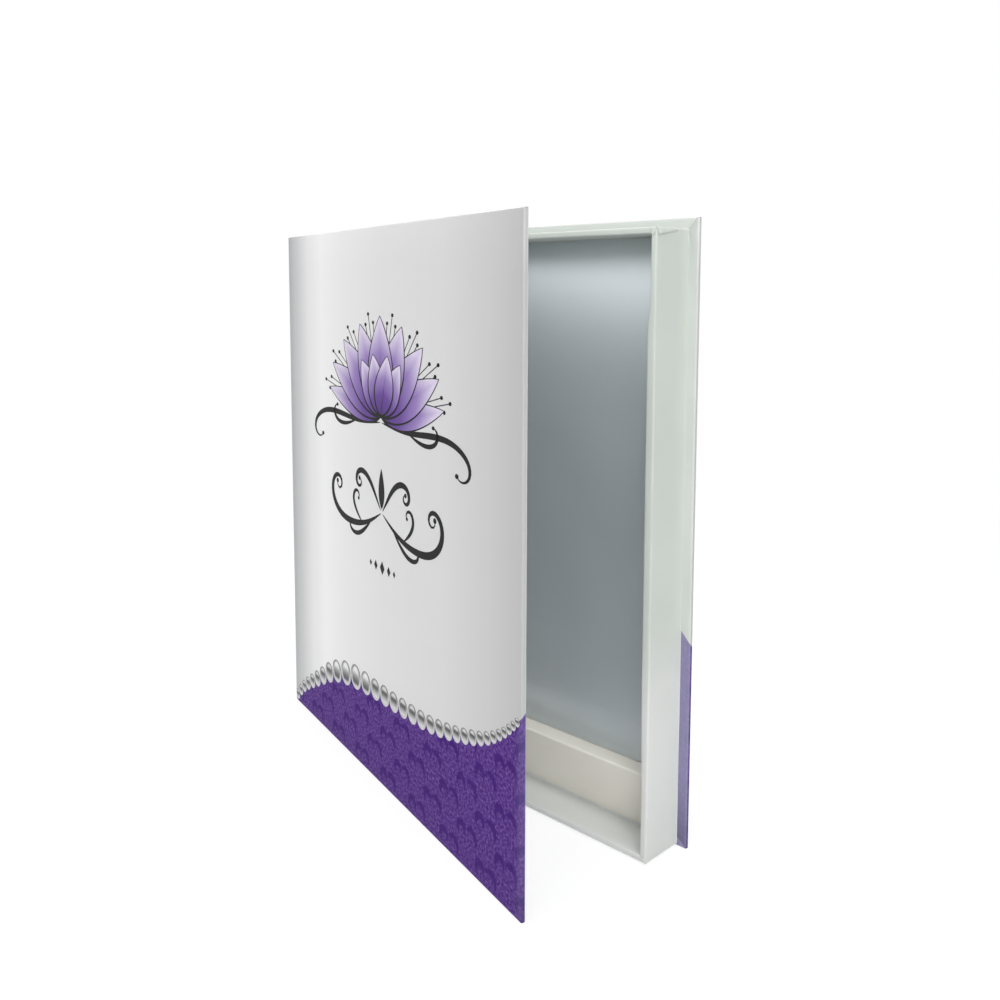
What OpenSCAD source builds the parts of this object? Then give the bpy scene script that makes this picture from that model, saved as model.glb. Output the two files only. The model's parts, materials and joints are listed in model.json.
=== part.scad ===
// False eyelash case made like a hardback book: two wrapped board covers and a
// spine fold round a shallow tray, which is glued to the back cover. The tray has
// a steel floor sheet and a folded card ledge. Millimetres, +Z up, standing on
// its lower edges with the tray open towards -Y.

/* [Covers] */
// Width of each cover, from its fold to its fore edge
cover_w = 164; // [120:1:240]
// Height of the covers and the spine
cover_h = 180; // [120:1:260]
// Thickness of the board in the covers and the spine
cover_board_t = 1.2; // [1.1:0.1:3]
// Thickness of each sheet of paper
paper_t = 0.15; // [0.1:0.05:0.25]
// Width of the printed paper that is turned in over the inner side
turn_in_w = 15; // [8:1:25]
// Printed margin that shows round the linings
lining_margin = 3; // [1:0.5:7]
// Radius of the wrapped board edges
edge_r = 0.4; // [0.3:0.05:0.6]

/* [Tray] */
// Depth of the tray, from the back cover to its rim
tray_depth = 15; // [10:0.5:30]
// Thickness of the tray's wall boards
tray_wall_t = 1.5; // [1:0.1:3]
// Thickness of the tray's base board
tray_base_t = 1.5; // [1:0.1:3]
// How far the covers stand out past the tray at the fore edge
fore_overhang = 3.2; // [2:0.1:8]
// How far the covers stand out past the tray at the top
top_overhang = 3; // [0.5:0.1:8]
// How far the covers stand out past the tray at the bottom
bottom_overhang = 0.3; // [0.2:0.1:5]

/* [Inside the tray] */
// Thickness of the steel sheet on the tray's floor
sheet_t = 0.3; // [0.2:0.1:1]
// Height of the card ledge above the bottom wall
ledge_rise = 19.5; // [10:0.5:40]
// How far the ledge's fold stands out from the tray's floor
ledge_proud = 6.3; // [4:0.1:7]
// Thickness of the ledge's card
ledge_card_t = 0.5; // [0.3:0.1:0.8]

/* [Closure magnets] */
// Length of each magnet, along the fore edge
magnet_l = 10; // [5:1:30]
// Width of each magnet
magnet_w = 4; // [2:0.5:5]
// Thickness of the magnets in the front cover
magnet_t = 1; // [0.5:0.1:1]
// Distance from each magnet's middle to the nearer end of the covers
magnet_inset = 45; // [20:1:55]

/* [Clearances] */
// Gap between the closed front cover and the tray's rim
cover_gap = 0.5; // [0.3:0.1:2]
// Gap between the closed spine and the tray
spine_gap = 0.5; // [0.3:0.1:2]
// Gap left on each side of a fold's mitre
fold_gap = 0.15; // [0.1:0.05:0.3]
// Gap round the steel sheet and at the ends of the ledge
fit_gap = 0.3; // [0.1:0.1:1]
// Width of the open seam where two turned-in papers meet
seam_gap = 0.2; // [0.1:0.05:0.5]

/* [Pose] */
// Angle by which the spine leans away from the tray
spine_open = 15; // [0:1:90]
// Angle by which the front cover opens past square to the spine
cover_open = 0; // [0:1:90]

/* [Hidden] */
$fn = 48;

// Depths below the outer face, where each layer of a wrapped board ends
board_in = paper_t + cover_board_t;
turn_in_end = board_in + paper_t;
lining_end = turn_in_end + paper_t;

// Thickness of the lined covers and spine, and of the back cover, which is bare at its edges
front_cover_t = lining_end;
spine_t = lining_end;
back_cover_t = turn_in_end;

// Distance between the two folds, which is the thickness of the closed case
spine_w = back_cover_t + tray_depth + cover_gap + front_cover_t;

// Where the tray's outer faces, its boards and its inner faces lie
tray_x0 = spine_t + spine_gap;
tray_x1 = cover_w - fore_overhang;
tray_z0 = bottom_overhang;
tray_z1 = cover_h - top_overhang;
wall_skin = paper_t + tray_wall_t + paper_t;
inner_x0 = tray_x0 + wall_skin;
inner_x1 = tray_x1 - wall_skin;
inner_z0 = tray_z0 + wall_skin;
inner_z1 = tray_z1 - wall_skin;
ledge_top_z = inner_z0 + ledge_rise;
floor_w = paper_t + tray_base_t;
rim_board_w = tray_depth - paper_t;

// Middle of the tray's fore-edge wall, where the magnets meet
magnet_x = tray_x1 - paper_t - tray_wall_t / 2;
magnet_zs = [magnet_inset, cover_h - magnet_inset];

// Small length by which a cutting shape runs past what it cuts
past = 1;

// The front fold and the pose, seen from above, with the back fold at zero
front_angle = spine_open + cover_open;
front_fold = [-spine_w * sin(spine_open), -spine_w * cos(spine_open)];
front_corner = [
    front_fold.x + cover_w * cos(front_angle),
    front_fold.y - cover_w * sin(front_angle)
];
front_inner_x = front_corner.x + front_cover_t * sin(front_angle);

// Middle of the case's outline, which becomes the origin
middle_x = (min(0, front_fold.x, front_corner.x) + max(cover_w, front_inner_x)) / 2;
middle_y = min(-back_cover_t - tray_depth, front_fold.y, front_corner.y) / 2;

// Colours
board_grey = [0.62, 0.58, 0.52];
print_silver = [0.86, 0.86, 0.88];
lining_white = [0.93, 0.93, 0.92];
tray_white = [0.86, 0.89, 0.86];
steel_colour = [0.66, 0.70, 0.71];
card_colour = [0.85, 0.83, 0.78];
magnet_colour = [0.45, 0.46, 0.48];

// Places for the three leaves and the tray

module centred() {
    translate([-middle_x, -middle_y, 0]) children();
}

// Children of these lie with X along the leaf from its fold, Y inwards and Z up
module in_front_cover() {
    centred()
        translate([front_fold.x, front_fold.y, 0])
            rotate([0, 0, -front_angle])
                children();
}

module in_spine() {
    centred() rotate([0, 0, -90 - spine_open]) children();
}

module in_back_cover() {
    centred() mirror([0, 1, 0]) children();
}

// Y is the distance from the back cover's inner face
module in_tray() {
    in_back_cover() translate([0, back_cover_t, 0]) children();
}

// A rectangle with rounded corners, from one pair of sides to the other
module edge_outline(a0, a1, b0, b1, r) {
    translate([a0 + r, b0]) square([a1 - a0 - 2 * r, b1 - b0]);
    translate([a0, b0 + r]) square([a1 - a0, b1 - b0 - 2 * r]);
    for (a = [a0 + r, a1 - r], b = [b0 + r, b1 - r])
        translate([a, b]) circle(r);
}

// A box given by its lowest and its highest corner
module block(low, high) {
    translate(low) cube(high - low);
}

// The same box with every edge rounded
module rounded_block(low, high, r) {
    size = high - low;
    translate(low)
        intersection() {
            linear_extrude(size.z) edge_outline(0, size.x, 0, size.y, r);
            rotate([90, 0, 90]) linear_extrude(size.x) edge_outline(0, size.y, 0, size.z, r);
            translate([0, size.y, 0])
                rotate([90, 0, 0])
                    linear_extrude(size.y)
                        edge_outline(0, size.x, 0, size.z, r);
        }
}

// Wrapped boards

// Outline in plan of a cover, mitred at its fold and rounded at its fore edge
module cover_outline(y0, y1, x1, r) {
    polygon([
        [y0 + fold_gap, y0], [x1 - r, y0],
        [x1 - r, y1], [y1 + fold_gap, y1]
    ]);
    translate([x1 - 2 * r, y0 + r]) square([2 * r, y1 - y0 - 2 * r]);
    for (y = [y0 + r, y1 - r])
        translate([x1 - r, y]) circle(r);
}

// A leaf of a cover between two depths, in by the same amount at its three free edges
module cover_leaf(y0, y1, inset, r) {
    intersection() {
        linear_extrude(cover_h) cover_outline(y0, y1, cover_w - inset, r);
        rotate([90, 0, 90])
            linear_extrude(cover_w)
                edge_outline(y0, y1, inset, cover_h - inset, r);
    }
}

// A leaf of the spine, mitred at both folds
module spine_leaf(y0, y1, inset, r) {
    intersection() {
        linear_extrude(cover_h)
            polygon([
                [y0 + fold_gap, y0], [spine_w - y0 - fold_gap, y0],
                [spine_w - y1 - fold_gap, y1], [y1 + fold_gap, y1]
            ]);
        rotate([90, 0, 90])
            linear_extrude(spine_w)
                edge_outline(y0, y1, inset, cover_h - inset, r);
    }
}

// Rounding of the paper's outer face and of the board under it
paper_r = min(edge_r, back_cover_t / 3);
board_r = paper_r - paper_t / 2;

// Rounding of the tray's paper, which still covers the square corners of its boards
tray_r = min(edge_r, 3 * paper_t);

module cover_board_blank() {
    cover_leaf(paper_t, board_in, paper_t, board_r);
}

// Open seam along one corner's mitre in the turned-in paper
module corner_seam(z, up) {
    seam_l = (turn_in_w - 2 * paper_r) * sqrt(2);
    translate([cover_w - turn_in_w, board_in, z])
        rotate([0, up ? -45 : 45, 0])
            translate([-past, 0, -seam_gap / 2])
                cube([seam_l + past, paper_t + past, seam_gap]);
}

// Printed paper over a cover's outer face, round its edges and onto its inner side
module cover_wrap_sheet() {
    difference() {
        cover_leaf(0, turn_in_end, 0, paper_r);
        cover_board_blank();
        block(
            [-past, paper_t + cover_board_t / 2, turn_in_w],
            [cover_w - turn_in_w, turn_in_end + past, cover_h - turn_in_w]
        );
        corner_seam(cover_h - turn_in_w, true);
        corner_seam(turn_in_w, false);
    }
}

// A flat layer of a cover between two depths, with its fold end mitred
module cover_layer(y0, y1, x1, z0, z1) {
    translate([0, 0, z0])
        linear_extrude(z1 - z0)
            polygon([
                [y0 + fold_gap, y0], [x1, y0],
                [x1, y1], [y1 + fold_gap, y1]
            ]);
}

// Front cover

module front_cover_board() {
    color(board_grey)
        in_front_cover()
            difference() {
                cover_board_blank();
                magnets_in_cover();
            }
}

module front_cover_wrap() {
    color(print_silver) in_front_cover() cover_wrap_sheet();
}

// The lining lies over the turned-in paper and steps down inside it
module front_cover_lining() {
    low = turn_in_w;
    high = cover_h - turn_in_w;
    step_x = cover_w - turn_in_w;
    color(lining_white)
        in_front_cover()
            difference() {
                union() {
                    cover_layer(board_in, turn_in_end, step_x, low, high);
                    cover_layer(
                        turn_in_end, lining_end, cover_w - lining_margin,
                        lining_margin, cover_h - lining_margin
                    );
                }
                block(
                    [-past, turn_in_end, low + paper_t],
                    [step_x - paper_t, lining_end + past, high - paper_t]
                );
            }
}

module magnets_in_cover() {
    for (z = magnet_zs)
        block(
            [magnet_x - magnet_w / 2, board_in - magnet_t, z - magnet_l / 2],
            [magnet_x + magnet_w / 2, board_in, z + magnet_l / 2]
        );
}

module cover_magnets() {
    color(magnet_colour) in_front_cover() magnets_in_cover();
}

// Spine

module spine_board() {
    color(board_grey) in_spine() spine_leaf(paper_t, board_in, paper_t, board_r);
}

module spine_wrap() {
    color(print_silver)
        in_spine()
            difference() {
                spine_leaf(0, turn_in_end, 0, paper_r);
                spine_leaf(paper_t, board_in, paper_t, board_r);
                block(
                    [-past, paper_t + cover_board_t / 2, turn_in_w],
                    [spine_w + past, turn_in_end + past, cover_h - turn_in_w]
                );
            }
}

// Flat layer of the spine between two depths, mitred at both folds
module spine_layer(y0, y1, z0, z1) {
    translate([0, 0, z0])
        linear_extrude(z1 - z0)
            polygon([
                [y0 + fold_gap, y0], [spine_w - y0 - fold_gap, y0],
                [spine_w - y1 - fold_gap, y1], [y1 + fold_gap, y1]
            ]);
}

module spine_lining() {
    low = turn_in_w;
    high = cover_h - turn_in_w;
    color(lining_white)
        in_spine()
            difference() {
                union() {
                    spine_layer(board_in, turn_in_end, low, high);
                    spine_layer(
                        turn_in_end, lining_end,
                        lining_margin, cover_h - lining_margin
                    );
                }
                block(
                    [-past, turn_in_end, low + paper_t],
                    [spine_w + past, lining_end + past, high - paper_t]
                );
            }
}

// Back cover

module back_cover_board() {
    color(board_grey) in_back_cover() cover_board_blank();
}

module back_cover_wrap() {
    color(print_silver) in_back_cover() cover_wrap_sheet();
}

// Fills the space inside the turned-in paper, under the tray
module back_cover_lining() {
    color(lining_white)
        in_back_cover()
            cover_layer(
                board_in, turn_in_end, cover_w - turn_in_w,
                turn_in_w, cover_h - turn_in_w
            );
}

// Tray

module tray_base_board() {
    color(board_grey)
        in_tray()
            block(
                [tray_x0 + paper_t, paper_t, tray_z0 + paper_t],
                [tray_x1 - paper_t, floor_w, tray_z1 - paper_t]
            );
}

// A wall along the top or the bottom, from one height to another
module long_wall(z0, z1) {
    color(board_grey)
        in_tray()
            block(
                [tray_x0 + paper_t, floor_w, z0],
                [tray_x1 - paper_t, rim_board_w, z1]
            );
}

// A wall between the two long ones
module short_wall_block(x0, x1) {
    block(
        [x0, floor_w, inner_z0 - paper_t],
        [x1, rim_board_w, inner_z1 + paper_t]
    );
}

module tray_top_wall() {
    long_wall(inner_z1 + paper_t, tray_z1 - paper_t);
}

module tray_bottom_wall() {
    long_wall(tray_z0 + paper_t, inner_z0 - paper_t);
}

module tray_fore_edge_wall() {
    color(board_grey)
        in_tray()
            difference() {
                short_wall_block(inner_x1 + paper_t, tray_x1 - paper_t);
                magnets_in_tray();
            }
}

module tray_spine_side_wall() {
    color(board_grey)
        in_tray()
            short_wall_block(tray_x0 + paper_t, inner_x0 - paper_t);
}

// Bar magnets let into the rim of the fore-edge wall, as thick as its board
module magnets_in_tray() {
    for (z = magnet_zs)
        block(
            [inner_x1 + paper_t, rim_board_w - magnet_w, z - magnet_l / 2],
            [tray_x1 - paper_t, rim_board_w, z + magnet_l / 2]
        );
}

module tray_magnets() {
    color(magnet_colour) in_tray() magnets_in_tray();
}

// Everything that the tray's paper goes round: its base and its ring of walls
module tray_board_space() {
    block(
        [tray_x0 + paper_t, paper_t, tray_z0 + paper_t],
        [tray_x1 - paper_t, floor_w, tray_z1 - paper_t]
    );
    difference() {
        block(
            [tray_x0 + paper_t, paper_t, tray_z0 + paper_t],
            [tray_x1 - paper_t, rim_board_w, tray_z1 - paper_t]
        );
        block(
            [inner_x0 - paper_t, paper_t - past, inner_z0 - paper_t],
            [inner_x1 + paper_t, tray_depth, inner_z1 + paper_t]
        );
    }
}

// Open mitre seam across the rim at one corner
module rim_seam(x, z, turn) {
    seam_l = wall_skin * sqrt(2);
    translate([x, rim_board_w, z])
        rotate([0, turn, 0])
            translate([paper_t, 0, -seam_gap / 2])
                cube([seam_l, paper_t + past, seam_gap]);
}

// White paper under the base, up the walls, over the rim and down to the floor
module tray_wrap() {
    color(tray_white)
        in_tray()
            difference() {
                rounded_block([tray_x0, 0, tray_z0], [tray_x1, tray_depth, tray_z1], tray_r);
                tray_board_space();
                block([inner_x0, floor_w, inner_z0], [inner_x1, tray_depth + past, inner_z1]);
                rim_seam(tray_x0, tray_z0, -45);
                rim_seam(tray_x1, tray_z0, -135);
                rim_seam(tray_x1, tray_z1, 135);
                rim_seam(tray_x0, tray_z1, 45);
            }
}

// Inside the tray

// The sheet fills the floor from the ledge to the top wall
module steel_sheet() {
    color(steel_colour)
        in_tray()
            block(
                [inner_x0 + fit_gap, floor_w, ledge_top_z + fit_gap],
                [inner_x1 - fit_gap, floor_w + sheet_t, inner_z1 - fit_gap]
            );
}

// Section of the ledge, a right triangle with its foot on the floor, in depth and height
module ledge_section() {
    polygon([[0, 0], [0, ledge_rise], [ledge_proud, ledge_rise]]);
}

// Radius of the circle that fits the section, which sets how far its inner outline shrinks
ledge_in_r = (ledge_rise + ledge_proud - sqrt(pow(ledge_rise, 2) + pow(ledge_proud, 2))) / 2;
ledge_middle = [ledge_in_r, ledge_rise - ledge_in_r];

// A strip of card folded into a three-sided tube: foot, top and sloping front
module card_ledge() {
    color(card_colour)
        in_tray()
            translate([inner_x0 + fit_gap, floor_w, inner_z0])
                rotate([90, 0, 90])
                    linear_extrude(inner_x1 - inner_x0 - 2 * fit_gap)
                        difference() {
                            ledge_section();
                            translate(ledge_middle)
                                scale(1 - ledge_card_t / ledge_in_r)
                                    translate(-ledge_middle)
                                        ledge_section();
                        }
}

front_cover_board();
front_cover_wrap();
front_cover_lining();
cover_magnets();
spine_board();
spine_wrap();
spine_lining();
back_cover_board();
back_cover_wrap();
back_cover_lining();
tray_base_board();
tray_top_wall();
tray_bottom_wall();
tray_fore_edge_wall();
tray_spine_side_wall();
tray_wrap();
steel_sheet();
card_ledge();
tray_magnets();
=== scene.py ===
"""Looks of a false eyelash case that opens like a book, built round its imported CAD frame.

Metres, in the frame's own axes. MM stands for a millimetre.
"""

import json
import math

import bpy
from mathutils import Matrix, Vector, noise


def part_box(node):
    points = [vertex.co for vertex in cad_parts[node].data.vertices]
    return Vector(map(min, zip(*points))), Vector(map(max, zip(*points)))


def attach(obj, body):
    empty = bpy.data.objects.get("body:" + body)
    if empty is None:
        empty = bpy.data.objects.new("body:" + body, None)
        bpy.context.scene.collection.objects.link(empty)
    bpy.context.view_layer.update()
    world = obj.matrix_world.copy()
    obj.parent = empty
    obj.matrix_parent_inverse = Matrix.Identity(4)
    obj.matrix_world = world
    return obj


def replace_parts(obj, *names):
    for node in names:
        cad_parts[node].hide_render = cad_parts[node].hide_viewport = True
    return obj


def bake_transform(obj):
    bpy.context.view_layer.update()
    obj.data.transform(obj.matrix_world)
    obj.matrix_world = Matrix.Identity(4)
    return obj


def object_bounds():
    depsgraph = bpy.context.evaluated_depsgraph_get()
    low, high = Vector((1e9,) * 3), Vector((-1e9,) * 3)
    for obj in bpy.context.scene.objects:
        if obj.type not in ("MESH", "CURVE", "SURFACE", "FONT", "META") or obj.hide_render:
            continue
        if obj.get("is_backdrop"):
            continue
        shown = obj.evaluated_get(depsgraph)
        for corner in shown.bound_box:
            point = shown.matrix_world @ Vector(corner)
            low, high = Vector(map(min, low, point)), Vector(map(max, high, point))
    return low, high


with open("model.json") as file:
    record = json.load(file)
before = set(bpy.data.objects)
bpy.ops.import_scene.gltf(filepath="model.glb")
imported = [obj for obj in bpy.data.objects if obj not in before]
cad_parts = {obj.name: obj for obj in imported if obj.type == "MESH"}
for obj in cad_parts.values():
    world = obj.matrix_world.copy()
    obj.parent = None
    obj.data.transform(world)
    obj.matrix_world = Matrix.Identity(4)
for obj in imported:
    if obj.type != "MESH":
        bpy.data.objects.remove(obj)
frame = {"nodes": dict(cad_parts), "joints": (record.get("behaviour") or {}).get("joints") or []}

MM = 0.001
cad_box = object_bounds()
nodes = frame["nodes"]
joints = {joint["name"]: joint for joint in frame["joints"]}

# Camera and lamps

# Fitted to corners of the cover, the tray and the ledge in the photograph
CAMERA_PLACE = (0.2368, -0.2094, 0.1604)
CAMERA_TURN = math.radians(45)
CAMERA_DOWN = 0.099
CAMERA_FOCAL_PX = 1008.7
CAMERA_CENTRE_PX = (475, 390)
IMAGE_PX = 1000
SENSOR_MM = 36


def add_object(name, data):
    thing = bpy.data.objects.new(name, data)
    bpy.context.scene.collection.objects.link(thing)
    return thing


def add_camera():
    data = bpy.data.cameras.new("camera")
    data.sensor_width = SENSOR_MM
    data.lens = CAMERA_FOCAL_PX * SENSOR_MM / IMAGE_PX
    data.shift_x = 0.5 - CAMERA_CENTRE_PX[0] / IMAGE_PX
    data.shift_y = CAMERA_CENTRE_PX[1] / IMAGE_PX - 0.5
    data.clip_start = 0.01
    camera = add_object("camera", data)
    camera.location = CAMERA_PLACE
    camera.rotation_euler = (math.pi / 2 - CAMERA_DOWN, 0, CAMERA_TURN)
    bpy.context.scene.camera = camera


def add_softbox(name, place, size, power):
    data = bpy.data.lights.new(name, "AREA")
    data.shape = "RECTANGLE"
    data.size, data.size_y = size
    data.energy = power
    lamp = add_object(name, data)
    lamp.location = place
    aim = Vector((0, 0, COVER_H / 2)) - Vector(place)
    lamp.rotation_euler = aim.to_track_quat("-Z", "Y").to_euler()


# Places on the three leaves

PAPER_T = 0.15 * MM
EDGE_R = 0.4 * MM
TURN_IN_W = 15 * MM
SPINE_FOLD = Vector(joints["back_fold"]["pos_m"][:2])
FRONT_FOLD = Vector(joints["front_fold"]["pos_m"][:2])
SPINE_W = (FRONT_FOLD - SPINE_FOLD).length
COVER_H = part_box("back_cover_wrap")[1].z
COVER_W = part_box("back_cover_wrap")[1].x - SPINE_FOLD.x
# Thickness of the back cover, and of the two leaves that are lined all over
COVER_T = SPINE_FOLD.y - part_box("tray_wrap")[1].y
LINED_T = COVER_T + PAPER_T


class Leaf:
    """A leaf in plan: u runs along it from a fold, w inwards from its outer face.

    A cover also has the spine's leaf from the same fold, and its body.
    """

    def __init__(self, fold, along, inward, spine=None, body="spine"):
        self.fold, self.along, self.inward = fold, along.normalized(), inward.normalized()
        self.spine, self.body = spine, body

    def at(self, u, w, z):
        plan = self.fold + self.along * u + self.inward * w
        return Vector((plan.x, plan.y, z))


def quarter_turn(v):
    return Vector((-v.y, v.x))


spine_along = (FRONT_FOLD - SPINE_FOLD).normalized()
spine_in = quarter_turn(spine_along)
spine_from_back = Leaf(SPINE_FOLD, spine_along, spine_in)
spine_from_front = Leaf(FRONT_FOLD, -spine_along, spine_in)
back_leaf = Leaf(SPINE_FOLD, Vector((1, 0)), Vector((0, -1)), spine_from_back, "tray")
front_leaf = Leaf(FRONT_FOLD, spine_in, -spine_along, spine_from_front, "front_cover")

# Meshes

# Places nearer than this count as one
SAME_PLACE = 1e-7


class Grid:
    """Points, texture places and faces collected for one mesh."""

    def __init__(self):
        self.points, self.uvs, self.faces, self.looks = [], [], [], []

    def point(self, place, uv=(0, 0)):
        self.points.append(Vector(place))
        self.uvs.append(uv)
        return len(self.points) - 1

    def face(self, corners, look=0):
        """Adds a face, leaving out corners that lie on one another."""
        kept = []
        for corner in corners:
            place = self.points[corner]
            if all((self.points[k] - place).length >= SAME_PLACE for k in kept):
                kept.append(corner)
        if len(kept) > 2:
            self.faces.append(kept)
            self.looks.append(look)

    def strip(self, row_a, row_b, look=0):
        """Faces between two rows of points; look may be a list."""
        for k in range(len(row_a) - 1):
            chosen = look[k] if isinstance(look, list) else look
            self.face([row_a[k], row_a[k + 1], row_b[k + 1], row_b[k]], chosen)

    def sheet(self, rows, look=0):
        for row_a, row_b in zip(rows, rows[1:]):
            self.strip(row_a, row_b, look)

    def piece(self, name, looks, smooth_angle=40, flip=False):
        faces = [face[::-1] for face in self.faces] if flip else self.faces
        mesh = bpy.data.meshes.new(name)
        mesh.from_pydata([tuple(p) for p in self.points], [], faces)
        for look in looks:
            mesh.materials.append(look)
        mesh.polygons.foreach_set("material_index", self.looks)
        layer = mesh.uv_layers.new(name="UVMap")
        for loop in mesh.loops:
            layer.data[loop.index].uv = self.uvs[loop.vertex_index]
        mesh.polygons.foreach_set("use_smooth", [True] * len(mesh.polygons))
        mesh.set_sharp_from_angle(angle=math.radians(smooth_angle))
        mesh.validate()
        return add_object(name, mesh)


def add_thickness(piece, thickness):
    """Thickness that grows against the faces' normals."""
    solid = piece.modifiers.new("thickness", "SOLIDIFY")
    solid.thickness = thickness
    solid.offset = -1


def smooth_step(x, start, end):
    t = max(0, min(1, (x - start) / (end - start)))
    return t * t * (3 - 2 * t)


def steps(start, end, count):
    """Even steps from start to end, both included."""
    return [start + (end - start) * k / count for k in range(count + 1)]


def circle(sides):
    """Places round a circle of radius 1, with the first one again at the end."""
    turns = [2 * math.pi * k / sides for k in range(sides + 1)]
    return [(math.cos(a), math.sin(a)) for a in turns]


def quarter_round(r, count):
    """Distances from two planes of places round a quarter circle that touches both."""
    return [(r - r * math.cos(a), r - r * math.sin(a)) for a in steps(0, math.pi / 2, count)]


def turned(start, end, whole, share):
    """Start turned towards end by a share of the whole angle between them."""
    return (start * math.sin((1 - share) * whole) + end * math.sin(share * whole)) / math.sin(whole)


# Materials


class Nodes:
    """Shader nodes being joined. A setting may be a value or another node's output."""

    def __init__(self, tree):
        self.tree = tree

    def feed(self, socket, value):
        if isinstance(value, bpy.types.NodeSocket):
            self.tree.links.new(value, socket)
        else:
            socket.default_value = value

    def set(self, node, **settings):
        """Capitalised settings are a node's inputs, and the others its properties."""
        for name, value in settings.items():
            if name[0].isupper():
                self.feed(node.inputs[name.replace("_", " ")], value)
            else:
                setattr(node, name, value)
        return node

    def add(self, kind, **settings):
        return self.set(self.tree.nodes.new("ShaderNode" + kind), **settings)

    def math(self, operation, *values, kind="Math"):
        node = self.add(kind, operation=operation)
        for socket, value in zip(node.inputs, values):
            self.feed(socket, value)
        return node.outputs[0]

    def times(self, a, b):
        return self.math("MULTIPLY", a, b)

    def between(self, value, low, high, start=0, end=1, smooth=False):
        """A value carried from low to high over to start to end, and held beyond."""
        way = "SMOOTHSTEP" if smooth else "LINEAR"
        node = self.add("MapRange", Value=value, interpolation_type=way)
        for socket, bound in zip(node.inputs[1:], (low, high, start, end)):
            self.feed(socket, bound)
        return node.outputs[0]

    def distance(self, x, y):
        square = self.math("MULTIPLY_ADD", x, x, self.times(y, y))
        return self.math("SQRT", square)

    def uv(self):
        return self.add("UVMap", uv_map="UVMap").outputs[0]

    def place(self):
        return self.add("TexCoord").outputs["Object"]

    def split(self, vector):
        return self.add("SeparateXYZ", Vector=vector).outputs

    def noise(self, vector, scale, detail=3, roughness=0.5):
        node = self.add("TexNoise", Vector=vector, Scale=scale, Detail=detail, Roughness=roughness)
        return node.outputs[0]

    def stretched(self, vector, scale):
        return self.add("Mapping", Vector=vector, Scale=scale).outputs[0]

    def ramp(self, factor, stops):
        """Colour from stops, each a place and the levels of its colour."""
        node = self.add("ValToRGB", Fac=factor)
        band = node.color_ramp
        while len(band.elements) < len(stops):
            band.elements.new(0.5)
        for element, (place, *levels) in zip(band.elements, stops):
            element.position = place
            element.color = srgb(*levels)
        return node.outputs[0]

    def mix(self, factor, a, b, blend="MIX"):
        """Colour a where factor is 0 and b, or a blended with b, where it is 1."""
        node = self.add("Mix", data_type="RGBA", blend_type=blend)
        for index, value in ((0, factor), (6, a), (7, b)):
            self.feed(node.inputs[index], value)
        return node.outputs[2]

    def bump(self, height, depth, strength=1.0, **over):
        """Bump from a height of 0 to 1 that stands for depth metres."""
        node = self.add("Bump", Height=height, Strength=strength, Distance=depth, **over)
        return node.outputs[0]

    def seen(self):
        """1 for what the camera sees, itself or in reflections, and 0 for other light."""
        path = self.add("LightPath").outputs
        seen = self.math("MAXIMUM", path["Is Camera Ray"], path["Is Glossy Ray"])
        return self.math("MAXIMUM", seen, path["Is Transmission Ray"])


class Look(Nodes):
    """A node material being built."""

    def __init__(self, name):
        self.material = bpy.data.materials.new(name)
        self.material.use_nodes = True
        super().__init__(self.material.node_tree)

    def surface(self, **settings):
        self.set(self.tree.nodes["Principled BSDF"], **settings)
        return self.material


def srgb(*levels):
    """A colour from the 0 to 255 levels seen on a screen; one level makes a grey."""
    def linear(level):
        c = level / 255
        return c / 12.92 if c <= 0.04045 else ((c + 0.055) / 1.055) ** 2.4
    if len(levels) == 1:
        levels *= 3
    return tuple(linear(level) for level in levels) + (1,)


# Silver of the print across a cover, from its fold to its fore edge
SILVER_STOPS = [
    (0.00, 160, 161, 163), (0.05, 189, 190, 191), (0.12, 225, 225, 226), (0.20, 239),
    (0.32, 229), (0.50, 219), (0.75, 212), (0.90, 198), (1.00, 183),
]


def silver_look():
    """Silver print, paler and darker in stripes along the folds."""
    look = Look("print_silver")
    uv = look.uv()
    across = look.split(uv)[0]
    share = look.math("DIVIDE", look.math("ABSOLUTE", across), COVER_W)
    streaks = look.noise(look.stretched(uv, (1, 0.002, 1)), 260, 2)
    share = look.math("ADD", share, look.math("MULTIPLY_ADD", streaks, 0.02, -0.01))
    fibre = look.noise(uv, 2600, 4, 0.6)
    return look.surface(
        Base_Color=look.ramp(share, SILVER_STOPS), Roughness=0.38,
        Coat_Weight=0.15, Coat_Roughness=0.3,
        Normal=look.bump(fibre, 0.02 * MM, 0.35),
    )


# Pattern on the purple band: pairs of commas in staggered rows
MOTIF_PITCHES = (20.5 * MM, 13.6 * MM)
MOTIF_START = (3.4 * MM, 4.5 * MM)
# Centre and radius of a disc, and of the disc cut out of it, in mm
COMMAS = [((-3.1, 0.2, 2.6), (-2.8, -1.0, 1.6)), ((2.7, -0.2, 3.05), (1.7, -1.8, 2.95))]
# Half width of a comma's soft outline, in mm, and how far it wanders
COMMA_BLUR = 0.25
COMMA_WANDER = 1.1 * MM
COMMA_STRENGTH = 0.95
PURPLE_GROUND = [(0.34, 62, 22, 108), (0.46, 80, 44, 125), (0.56, 93, 60, 138), (0.66, 109, 81, 153)]
PURPLE_MOTIF = [(0.40, 56, 12, 106), (0.70, 68, 28, 118)]
# Colour of the painted glare on the purple
GLARE_LAVENDER = srgb(168, 168, 192)
# Painted highlight: glare paling the purple towards the fore edge, over this width and by this share
EDGE_GLARE_W = 4 * MM
EDGE_GLARE_SHARE = 0.12
# Painted glare: share of lavender over all of the turned-in purple
TURN_IN_GLARE_SHARE = 0.58


def comma_mask(look, x, y, disc, hole):
    def inside(middle_x, middle_y, r):
        dx = look.math("SUBTRACT", x, middle_x * MM)
        dy = look.math("SUBTRACT", y, middle_y * MM)
        ends = (r - COMMA_BLUR) * MM, (r + COMMA_BLUR) * MM
        return look.between(look.distance(dx, dy), *ends, 1, 0)
    return look.times(inside(*disc), look.math("SUBTRACT", 1, inside(*hole)))


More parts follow.
